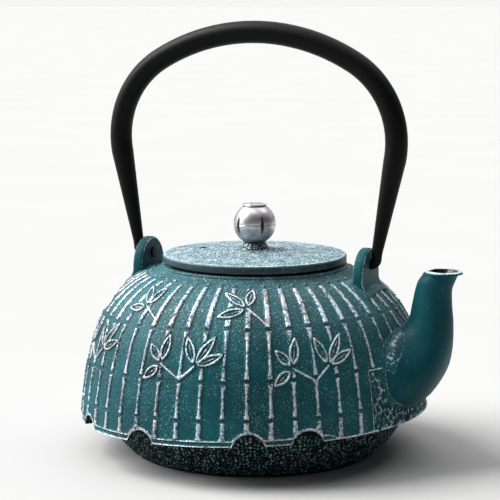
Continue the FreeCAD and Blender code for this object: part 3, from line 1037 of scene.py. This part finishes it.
def mouth_round(course):
    """Quarter round at the spout's mouth, in rows that end level with it."""
    angle = np.linspace(0, pi / 2, round_points)
    last = np.repeat(course[-1:], round_points, 0)
    last[:, 1] += spout_lip_round * (np.sin(angle) - 1)
    last[:, 3:5] -= spout_lip_round * (1 - np.cos(angle))[:, None]
    return last


def make_spout():
    course = spout_course()
    mouth = mouth_round(course)
    top = course[-1, 1]
    below = top - course[:, 1]
    waist = soft_step(spout_waist_end - below, spout_waist_fade)
    waist = waist * soft_step(below - spout_lip_height, spout_lip_edge)
    course[:, 3:5] -= spout_lip * waist[:, None]
    course = np.concatenate([course[below > spout_lip_round], mouth])
    silver = lip_silver * soft_step(course[:, 1] - top + lip_silver_low, lip_silver_fade)
    shell = Shell()
    shell.closed_rows(in_box(spout_rings(course, course[:, 3], course[:, 4])), SPOUT, silver[:, None])
    return shell.build("spout", *pot_materials)


def add_spout_bore(shell):
    course = spout_course()
    flare_reach = 2 * spout_lip_round
    flare = np.clip((course[:, 1] - course[-1, 1] + flare_reach) / flare_reach, 0, 1) ** 2
    course[:, 5] += bore_flare * spout_lip_round * flare
    beyond = course[-1:].copy()
    beyond[:, 1] += cut_beyond
    course = np.concatenate([course, beyond])
    shell.closed_rows(spout_rings(course, course[:, 5], course[:, 5]), ENAMEL)


def add_ear(shell, side):
    """Round-topped plate with rounded edges, on the spout's side (1) or the other (-1)."""
    arch = np.radians(np.linspace(0, 180, 2 * ear_arch_points + 1))
    angle = np.linspace(0, pi / 2, round_points + 1)
    inset = ear_round * (1 - np.sin(angle))
    shift = ear_round * (1 - np.cos(angle))
    insets = np.concatenate([inset, inset[::-1]])
    places = np.concatenate([ear_inner + shift, ear_outer - shift[::-1]])
    rows = []
    for inward, place in zip(insets, places):
        half = ear_radius - inward
        down = np.linspace(ear_centre, ear_low + inward, ear_side_points + 1)[1:]
        y = np.concatenate([half * np.cos(arch), np.repeat([-half, half], ear_side_points)])
        z = np.concatenate([ear_centre + half * np.sin(arch), down, down[::-1]])
        flare = ear_flare * np.clip((ear_flare_top - z) / ear_flare_height, 0, 1) ** ear_flare_power
        x = place + flare * (place - ear_inner) / (ear_outer - ear_inner)
        rows.append(np.stack([x * side, y * side, z], -1))
    worn = ear_edge_silver * np.minimum(insets, ear_round - insets) / ear_round
    silver = np.where(insets > 0.05, worn, ear_side_silver)
    numbers = shell.rows(np.array(rows), EAR, silver[:, None])
    shell.close_across(np.roll(numbers[0], -ear_arch_points), EAR, True)
    shell.close_across(np.roll(numbers[-1], -ear_arch_points), EAR)


def make_ears():
    shell = Shell()
    for side in (1, -1):
        add_ear(shell, side)
    return shell.build("ears", *pot_materials)


def add_rod(shell, start, end, radius, kind, columns=rod_columns):
    """Plain round rod between two points, for cutting holes."""
    axis = (Vector(end) - Vector(start)).normalized()
    side = axis.orthogonal().normalized()
    other = axis.cross(side)
    turn = np.radians(turns_of(columns))
    ring = radius * (np.outer(np.cos(turn), side) + np.outer(np.sin(turn), other))
    shell.closed_rows(np.array([np.array(start) + ring, np.array(end) + ring]), kind)


def cut_out():
    """Spout bore, hinge holes and the notches in the skirt."""
    shell = Shell()
    add_spout_bore(shell)
    for side in (1, -1):
        start = (side * (ear_inner - cut_beyond), 0, hinge_height)
        end = (side * (ear_outer + cut_beyond), 0, hinge_height)
        add_rod(shell, start, end, hinge_hole, EAR)
    for turn in notch_turns:
        height = edge_height(turn) - notch_drop
        start, end = ((reach * cos(radians(turn)), reach * sin(radians(turn)), height)
                      for reach in ((groove_inner + skirt_inner) / 2, belly_radius + cut_beyond))
        add_rod(shell, start, end, notch_radius, FOOT, notch_columns)
    return shell.build("cut_out", *pot_materials)


# Pot

under_centre = 8.0
under_inset = 16.0
inner_wall_rows = 40
bowl_rows = 16
groove_points = 8

foot_low = (foot_radius, 0.0)
foot_high = (groove_inner, groove_height)
foot_chord = hypot(foot_high[0] - foot_low[0], foot_high[1] - foot_low[1])
foot_normal = ((foot_high[1] - foot_low[1]) / foot_chord, -(foot_high[0] - foot_low[0]) / foot_chord)

# Only here can the wall be near the spout, and near an ear on either side
spout_near = ((50.0, -46.0, 18.0), (100.0, 46.0, 80.0))
ear_near = ((47.6, -1.0, 68.0), (59.6, 18.0, 100.0))


def foot_line(start, end, push, count):
    """Arc from start to end through a point pushed out from the middle of the foot's chord."""
    middle = tuple((a + b) / 2 + push * n for a, b, n in zip(foot_low, foot_high, foot_normal))
    return arc_through(start, middle, end, count)


def pad_depth(turns, height):
    """0 on the outline of the oval pad round the spout's root, 1 in its middle."""
    aside = np.abs(wrapped(turns)) / pad_turn
    up = np.abs(height - pad_middle) / np.where(height > pad_middle, pad_up, pad_down)
    return 1 - (aside ** pad_power + up ** pad_power) ** (1 / pad_power)


def within(points, box):
    return np.all((points > box[0]) & (points < box[1]), -1)


def distance(points, tree):
    return np.array([tree.find_nearest(Vector(point) * MM)[3] for point in points]) / MM


def distance_at(points, chosen, obj):
    """Distances from the chosen points to an object. The others count as far away."""
    mesh = obj.data
    tree = BVHTree.FromPolygons([v.co[:] for v in mesh.vertices], [p.vertices[:] for p in mesh.polygons])
    away = np.full(chosen.shape, far_away)
    away[chosen] = distance(points[chosen], tree)
    return away


def tree_of_grid(points, chosen):
    """Surface through the rows and columns that hold chosen points."""
    part = points[np.ix_(chosen.any(1), chosen.any(0))] * MM
    numbers = np.arange(part.shape[0] * part.shape[1]).reshape(part.shape[:2])
    faces = np.stack([numbers[:-1, :-1], numbers[:-1, 1:], numbers[1:, 1:], numbers[1:, :-1]], -1)
    return BVHTree.FromPolygons(part.reshape(-1, 3).tolist(), faces.reshape(-1, 4).tolist())


def blend_out(away, reach):
    """How far two surfaces that meet swell out towards each other, so that they run together."""
    return np.maximum(reach - away, 0) ** 2 / (4 * reach)


def swell_spout(spout, tree):
    """Swells the spout out where it nears the wall."""
    vertices = spout.data.vertices
    places = values_of(vertices, "co", 3)
    normals = values_of(vertices, "normal", 3)
    push = blend_out(distance(places / MM, tree), spout_blend) * MM
    vertices.foreach_set("co", (places + normals * push[:, None]).ravel())
    spout.data.update()


def add_foot(shell, turns):
    """Underside and pebbled foot."""
    centre = shell.turned([(under_centre, 0.0)], turns_of(inner_columns // 4), FOOT)
    shell.close(centre[0], FOOT, True)
    under = shell.turned([(foot_radius - under_inset, 0.0)], turns_of(inner_columns), FOOT)
    shell.spread(centre[-1], under[0], FOOT)
    edge = shell.turned([(foot_radius - 1.0, 0.0)], turns, FOOT)
    shell.spread(under[-1], edge[0], FOOT)
    line = foot_line(foot_low, foot_high, foot_bulge, foot_rows)
    tilt = np.gradient(line, axis=0)[:, ::-1] * (1, -1)
    tilt = tilt / np.hypot(tilt[:, 0], tilt[:, 1])[:, None]
    way = np.linspace(0, foot_chord, foot_rows)[:, None]
    around = round(2 * pi * pebble_ring / pebble_size)
    domes = pebble(turns / 360 * around, way / pebble_size, around)
    fade = soft_step(way, pebble_fade) * soft_step(foot_chord - way, pebble_fade)
    pushed = line[:, None] + (pebble_depth * (domes - pebble_level) * fade)[..., None] * tilt[:, None]
    radius, height = np.moveaxis(pushed[1:], -1, 0)
    foot = shell.rows(ring_points(radius, height, turns), FOOT, (domes * fade)[1:])
    shell.join(edge[-1], foot[0], FOOT)
    return foot


def add_skirt(shell, turns, foot):
    """Groove behind the skirt, the skirt's inner face and its rounded lower edge."""
    groove_middle = ((groove_inner + skirt_inner) / 2, groove_top)
    line = arc_through(foot_high, groove_middle, (skirt_inner, groove_height), groove_points)
    groove = shell.turned(line[1:], turns, FOOT)
    shell.join(foot[-1], groove[0], FOOT)
    outer = wall(edge_along(turns))[0]
    inner = np.full(outer.shape, skirt_inner)
    part = 0.3 * edge_round
    radius = np.array([inner, inner + part, inner + edge_round, outer - edge_round])
    height = edge_height(turns) + np.array([[edge_round], [part], [0.0], [0.0]])
    skirt = shell.rows(ring_points(radius, height, turns), FOOT)
    shell.join(groove[-1], skirt[0], FOOT)
    return skirt


def add_side(shell, turns, skirt, spout, ears):
    """Side wall with its relief, which fades at the spout and the ears."""
    start = edge_along(turns) + 0.25 * edge_round
    along = start + np.linspace(0, 1, wall_rows)[:, None] * (neck_along - start)
    height, silver, pad_line = relief(np.broadcast_to(turns, along.shape), along)
    plain = ring_points(*wall(along), turns)
    pad = pad_depth(turns, plain[..., 2])
    pad_height = pad_edge * soft_step(pad, pad_edge_share) + pad_swell * np.clip(pad, 0, 1)
    padded = ring_points(*wall(along, pad_height), turns)
    at_spout = within(plain, spout_near)
    to_spout = distance_at(padded, at_spout, spout)
    to_ears = distance_at(plain, within(np.abs(plain), ear_near), ears)
    swell_spout(spout, tree_of_grid(padded, at_spout))

    near_joint = soft_step(relief_clear - np.minimum(to_spout, to_ears), relief_fade)
    bare = np.maximum(near_joint, soft_step(pad + pad_clear_share, pad_clear_fade))
    height = height * (1 - bare) * soft_step(neck_along - along, relief_fade)
    height = height + pad_height + blend_out(to_spout, spout_blend) + blend_out(to_ears, ear_blend)
    rubbed = soft_band(pad, *pad_edge_band) * soft_step(plain[..., 2] - pad_middle, pad_edge_climb)
    rubbed = pad_edge_silver * rubbed
    specked = pad_specks * soft_band(pad, *pad_specks_band)
    silver = np.maximum.reduce([silver * (1 - bare), rubbed, specked, pad_line_silver * pad_line * bare])
    finish = np.where(pad[:-1] > pad_bare, SPOUT, WALL)
    side = shell.rows(in_box(ring_points(*wall(along, height), turns)), finish, silver)
    shell.join(skirt[-1], side[0], WALL)
    return side


def add_inside(shell, turns, side):
    """Rim, recess, mouth and the black inside."""
    rim_line = np.concatenate([
        corner((neck_radius - rim_round, rim_height - rim_round), rim_round, 0, 90),
        corner((recess_radius + recess_round, rim_height - recess_round), recess_round, 90, 180)])
    rim = shell.turned(rim_line, turns, WALL, rim_silver)
    shell.join(side[-1], rim[0], WALL)
    mouth_line = [(recess_radius, ledge_height), (mouth_radius, ledge_height), (mouth_radius, collar_low)]
    mouth = shell.turned(mouth_line, turns, ENAMEL)
    shell.join(rim[-1], mouth[0], ENAMEL)
    top_angle = asin((collar_low - shoulder_centre[1]) / (shoulder_arc - wall_thickness))
    top_along = tangent_along + shoulder_arc * (top_angle - tangent_angle)
    wall_foot = flank_arc * (asin((groove_top - belly_height) / flank_arc) + tangent_angle) / 2
    inner = np.stack(wall(np.linspace(top_along, wall_foot, inner_wall_rows), -wall_thickness), -1)
    bowl = foot_line((groove_inner - foot_wall, groove_height), (inner_floor_radius, floor_height),
                     foot_bulge - foot_wall, bowl_rows)
    inside = shell.turned(np.concatenate([inner, bowl]), turns_of(inner_columns), ENAMEL)
    shell.join(mouth[-1], inside[0], ENAMEL)
    shell.close(inside[-1], ENAMEL)


def make_pot():
    spout = make_spout()
    ears = make_ears()
    turns = turns_of(pot_columns)
    shell = Shell()
    foot = add_foot(shell, turns)
    skirt = add_skirt(shell, turns, foot)
    side = add_side(shell, turns, skirt, spout, ears)
    add_inside(shell, turns, side)
    pot = shell.build("pot", *pot_materials)
    combine(pot, spout, "UNION")
    combine(pot, ears, "UNION")
    combine(pot, cut_out(), "DIFFERENCE")
    piece(pot, "pot", "pot_iron", "pot_body", "pot_base", "spout", "ear_front", "ear_rear",
          worn=0.6, worn_below=ear_low)


# Lid, knob and cap


def make_lid():
    """Hammered lid with its collar, a locating ring below and a steam vent."""
    turns = turns_of(lid_columns)
    shell = Shell()
    under_line = [(lid_hole, lid_plate_under), (lid_ring_inner, lid_plate_under),
                  (lid_ring_inner, lid_ring_low), (lid_ring_outer, lid_ring_low),
                  (lid_ring_outer, lid_seat), (lid_seat_radius, lid_seat),
                  (lid_seat_radius, lid_under), (lid_radius - lid_under_round, lid_under)]
    under = shell.turned(under_line, turns, 1)
    edge = lid_radius - lid_edge_round
    low_round = corner((lid_radius - lid_under_round, lid_under + lid_under_round), lid_under_round,
                       -80, 0, len(lid_side_silver_and_shade))
    high_round = corner((edge, lid_edge_top - lid_edge_round + lid_edge_lift), lid_edge_round,
                        0, 85, lid_edge_points)
    # Silver and painted shade up the lid's side
    silver = np.concatenate([lid_side_silver_and_shade, np.linspace(lid_side_silver_and_shade[-1], 1.0, lid_edge_points)])
    side = shell.turned(np.concatenate([low_round, high_round]), turns, 0, silver[:, None])
    shell.join(under[-1], side[0])

    crown = (lid_radius ** 2 + (lid_top - lid_edge_top) ** 2) / (2 * (lid_top - lid_edge_top))
    crown_r = np.linspace(edge, collar_foot + collar_gap, lid_rows)[:, None]
    crown_z = lid_top - crown + np.sqrt(crown ** 2 - crown_r ** 2)
    squares = ring_points(crown_r, 0.0, turns) / lid_swirl + swirl_shift
    nearest = scattered(squares[..., 0], squares[..., 1], swirl_seed)[0]
    domes = 0.5 + 0.5 * np.cos(2 * pi * nearest * lid_swirl / lid_ripple)
    fade = soft_step(edge - crown_r, lid_edge_fade)
    fade = fade * soft_step(crown_r - collar_foot - collar_clear, collar_fade)
    ripple = lid_ripple_depth * (domes - lid_ripple_level) * fade
    silver = np.maximum(lid_silver + lid_ripple_silver * domes,
                        lid_edge_silver * (1 - fade) * (crown_r > lid_ring_outer))
    top = shell.rows(ring_points(crown_r, crown_z + ripple, turns), 0, silver)
    shell.join(side[-1], top[0])

    way = np.linspace(0, 1, collar_rows)[:, None]
    collar_z = crown_z[-1] + (collar_top - crown_z[-1]) * way
    rough = scattered(turns / 360 * collar_around, way * collar_up, collar_seed, collar_around)[0]
    collar_r = collar_foot + (collar_top_radius - collar_foot) * way + collar_rough * (0.5 - rough)
    # Silver specks on the collar, with painted shade under the knob between them
    silver = np.where(rough < collar_speck, 1.0, collar_painted_shade)
    collar = shell.rows(ring_points(collar_r, collar_z, turns), 0, silver)
    shell.join(top[-1], collar[0])
    hole = shell.turned([(lid_hole, collar_top)], turns)
    shell.join(collar[-1], hole[0])
    shell.join(hole[0], under[0], 1)
    lid = shell.build("lid_cover", lid_paint, enamel)

    drill = Shell()
    vent = (vent_reach * cos(radians(vent_turn)), vent_reach * sin(radians(vent_turn)))
    add_rod(drill, vent + (lid_ring_low,), vent + (lid_top + cut_beyond,), vent_radius, 1)
    combine(lid, drill.build("drill", lid_paint, enamel), "DIFFERENCE")
    piece(lid, "lid", "lid_iron", "lid")


knob_drop = sqrt(knob_radius ** 2 - knob_flat_low ** 2)
knob_rise = sqrt(knob_radius ** 2 - knob_flat_high ** 2)
knob_middle = collar_top + knob_play + knob_drop
cap_under = knob_middle + knob_rise + knob_play
slit_turns = [radians(slit_turn + number * 360 / slit_count) for number in range(slit_count)]


def slits():
    """Lens-shaped slots round the ball."""
    shell = Shell()
    half = slit_length / 2
    bow = (half ** 2 + (slit_width / 2) ** 2) / slit_width
    z = half * np.cos(np.linspace(0, pi, slit_points))
    y = np.sqrt(np.maximum(bow ** 2 - z ** 2, 0)) - bow + slit_width / 2
    loop_y = np.concatenate([-y[:-1], y[::-1][:-1]])
    loop_z = np.concatenate([z[:-1], z[::-1][:-1]]) + knob_middle
    for turn in slit_turns:
        rows = []
        for reach in (knob_radius / 2, knob_radius * 1.3):
            x = reach * cos(turn) - loop_y * sin(turn)
            rows.append(np.stack([x, reach * sin(turn) + loop_y * cos(turn), loop_z], -1))
        shell.closed_rows(np.array(rows))
    return shell.build("slits", silver_plate)


def make_knob_half(name, node, low, high):
    """Half of the hollow ball, between two heights from its middle, drawn in a little at the seam."""
    turns = turns_of(knob_columns)
    centre = (0.0, knob_middle)
    outer = arc(centre, knob_radius, asin(low / knob_radius), asin(high / knob_radius), knob_rows)
    outer[:, 0] -= knob_seam * np.exp(-np.abs(outer[:, 1] - knob_middle) / knob_seam_fade)
    hollow = knob_radius - knob_shell
    inner = arc(centre, hollow, asin(high / hollow), asin(low / hollow), knob_rows // 2)
    inner[:, 0] = np.maximum(inner[:, 0], lid_hole)
    shell = Shell()
    outside = shell.turned(outer, turns)
    inside = shell.turned(inner, turns)
    shell.join(outside[-1], inside[0])
    shell.join(inside[-1], outside[0])
    half = shell.build(name, silver_plate)
    combine(half, slits(), "DIFFERENCE")
    piece(half, "knob", "knob_metal", node)


def make_cap():
    """Low round cap on the ball, with a rosette of sunk dark petals."""
    turns = turns_of(cap_columns)
    top = cap_under + cap_thickness
    shell = Shell()
    base = shell.turned([(lid_hole, cap_under), (cap_radius - cap_chamfer, cap_under),
                         (cap_radius, cap_under + cap_chamfer)], turns)
    side = shell.turned(corner((cap_radius - cap_round, top - cap_round), cap_round, 0, 90), turns)
    shell.join(base[-1], side[0])
    flat_r = np.linspace(cap_radius - cap_round - 0.1, lid_hole, cap_rows)[:, None]
    x, y, _ = np.moveaxis(ring_points(flat_r, 0.0, turns), -1, 0)
    sunk = np.zeros(x.shape)
    for turn in slit_turns:
        away = np.hypot(x - petal_reach * cos(turn), y - petal_reach * sin(turn))
        sunk = np.maximum(sunk, soft_step(petal_radius - away, petal_edge))
    flat = shell.rows(ring_points(flat_r, top - petal_depth * sunk, turns), sunk[:-1] > 0.5)
    shell.join(side[-1], flat[0])
    shell.join(flat[-1], base[0])
    piece(shell.build("knob_rosette", silver_plate, black_paint), "lid", "knob_metal", "knob_cap")


# Handle


def handle_line():
    """Middle line of half the bar, from the top of the arch to the hook's tip, and its radius there."""
    arch_top = hinge_height + handle_rise
    corner_centre = (leg_reach + handle_bulge - corner_radius, arch_top - arch_crown - corner_radius)
    drop = corner_radius + arch_crown
    arch_radius = (corner_centre[0] ** 2 + drop ** 2 - corner_radius ** 2) / (2 * arch_crown)
    arch_centre = (0.0, arch_top - arch_radius)
    turn_in = atan2(corner_centre[1] - arch_centre[1], corner_centre[0])
    foot_centre = (leg_reach + leg_foot_arc, hinge_height + elbow_radius)
    span = hypot(foot_centre[0] - corner_centre[0], foot_centre[1] - corner_centre[1])
    lean = (-atan2(foot_centre[1] - corner_centre[1], foot_centre[0] - corner_centre[0])
            - acos((corner_radius + leg_foot_arc) / span))
    elbow_centre = (leg_reach - elbow_radius, foot_centre[1])

    arch = np.concatenate([arc(arch_centre, arch_radius, pi / 2, turn_in, arch_points),
                           arc(corner_centre, corner_radius, turn_in, -lean, corner_points)[1:]])
    foot = arc(foot_centre, leg_foot_arc, pi - lean, pi, leg_foot_points)
    run = np.linspace(arch[-1], foot[0], leg_points)[1:-1]
    leg = np.concatenate([run, foot])
    elbow = arc(elbow_centre, elbow_radius, 0, -pi / 2, elbow_points)[1:]
    hook = np.concatenate([elbow, [[pin_end, hinge_height]]])
    steps = np.diff(np.concatenate([arch[-1:], leg]), axis=0)
    way = np.cumsum(np.hypot(steps[:, 0], steps[:, 1]))
    taper = bar_radius + (bar_end_radius - bar_radius) * way / way[-1]
    radius = np.concatenate([np.full(len(arch), bar_radius), taper, np.full(len(hook), bar_end_radius)])
    return np.concatenate([arch, leg, hook]), radius


def make_handle():
    line, radius = handle_line()
    line = np.concatenate([line[::-1] * (-1, 1), line[1:]])
    radius = np.concatenate([radius[::-1], radius[1:]])
    heading = np.gradient(line, axis=0)
    heading = heading / np.hypot(heading[:, 0], heading[:, 1])[:, None]
    turn = np.radians(turns_of(rod_columns))
    rows = []
    for point, direction, size in zip(line, heading, radius):
        side = np.array([-direction[1], 0.0, direction[0]])
        around = np.outer(np.cos(turn), side) + np.outer(np.sin(turn), (0.0, -1.0, 0.0))
        rows.append(np.array([point[0], 0.0, point[1]]) + size * around)
    shell = Shell()
    shell.closed_rows(np.array(rows))
    piece(shell.build("handle_bar", black_paint), "handle", "handle_iron", "bail_handle")


def wear(material, *nodes):
    """Gives pieces of the frame their finish."""
    for node in nodes:
        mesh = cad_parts[node].data
        mesh.materials.clear()
        mesh.materials.append(material)


make_pot()
make_lid()
make_knob_half("knob_lower", "knob_lower_shell", -knob_drop, 0.0)
make_knob_half("knob_upper", "knob_upper_shell", 0.0, knob_rise)
make_cap()
make_handle()
wear(rivet_steel, "knob_rivet", "rivet_washer")
wear(infuser_steel, "infuser_rim", "infuser_wall", "infuser_floor")


# Floor, light and camera


def seen_from_camera(right, ahead, up):
    """Direction given as the camera sees it."""
    turn = radians(camera_turn)
    return Vector((right * cos(turn) - ahead * sin(turn), right * sin(turn) + ahead * cos(turn), up))


def make_floor():
    finish = Finish("pale_floor", roughness=0.75, gloss=0.0)
    finish.paint(finish.mix(finish.noise(160.0, 3.0), srgb(180, 180, 179), srgb(186, 186, 185)))
    shell = Shell()
    rings = shell.turned([(radius, 0.0) for radius in floor_rings], turns_of(floor_columns))
    shell.close(rings[-1])
    floor = shell.build("floor", finish.material)


def make_light(name, direction, spread, strength):
    """Broad even light from a direction given as the camera sees it."""
    data = bpy.data.lights.new(name, "SUN")
    data.angle = radians(spread)
    data.energy = strength
    lamp = bpy.data.objects.new(name, data)
    lamp.rotation_euler = (-seen_from_camera(*direction)).to_track_quat("-Z", "Y").to_euler()
    bpy.context.scene.collection.objects.link(lamp)


def make_world():
    """Dim room that gloss shows pale overhead and beyond the pot, with a pale far wall where the
    camera looks past the floor."""
    world = bpy.data.worlds.new("soft_room")
    world.use_nodes = True
    nodes = Nodes(world.node_tree)
    room = nodes.tree.nodes["Background"]
    room.inputs["Color"].default_value = (0.93, 0.96, 1.0, 1.0)
    room.inputs["Strength"].default_value = room_strength
    direction = nodes.node("ShaderNodeTexCoord").outputs["Generated"]
    beyond = nodes.node("ShaderNodeVectorMath", operation="DOT_PRODUCT",
                        inputs={0: direction, 1: seen_from_camera(-0.15, 0.7, 0.7)}).outputs["Value"]
    climb = nodes.ramp(beyond, -0.1, 0.75, 0.14, 0.85)
    shown = nodes.node("ShaderNodeBackground", {"Color": srgb(236, 240, 244), "Strength": climb})
    far_wall = nodes.node("ShaderNodeBackground", {"Color": srgb(246, 246, 245)})
    path = nodes.node("ShaderNodeLightPath")
    seen = room.outputs[0]
    for ray, surface in (("Glossy", shown), ("Transmission", far_wall), ("Camera", far_wall)):
        inputs = {0: path.outputs["Is " + ray + " Ray"], 1: seen, 2: surface.outputs[0]}
        seen = nodes.node("ShaderNodeMixShader", inputs).outputs[0]
    nodes.feed(nodes.tree.nodes["World Output"].inputs["Surface"], seen)
    bpy.context.scene.world = world


def make_camera():
    data = bpy.data.cameras.new("camera")
    data.lens = camera_lens
    data.sensor_width = camera_sensor
    camera = bpy.data.objects.new("camera", data)
    camera.location = Vector(camera_place) * MM
    camera.rotation_euler = (radians(90 - camera_down), 0.0, radians(camera_turn))
    bpy.context.scene.collection.objects.link(camera)
    bpy.context.scene.camera = camera


make_floor()
for light, settings in lights.items():
    make_light(light, *settings)
make_world()
make_camera()
bpy.context.scene.view_settings.view_transform = "Standard"
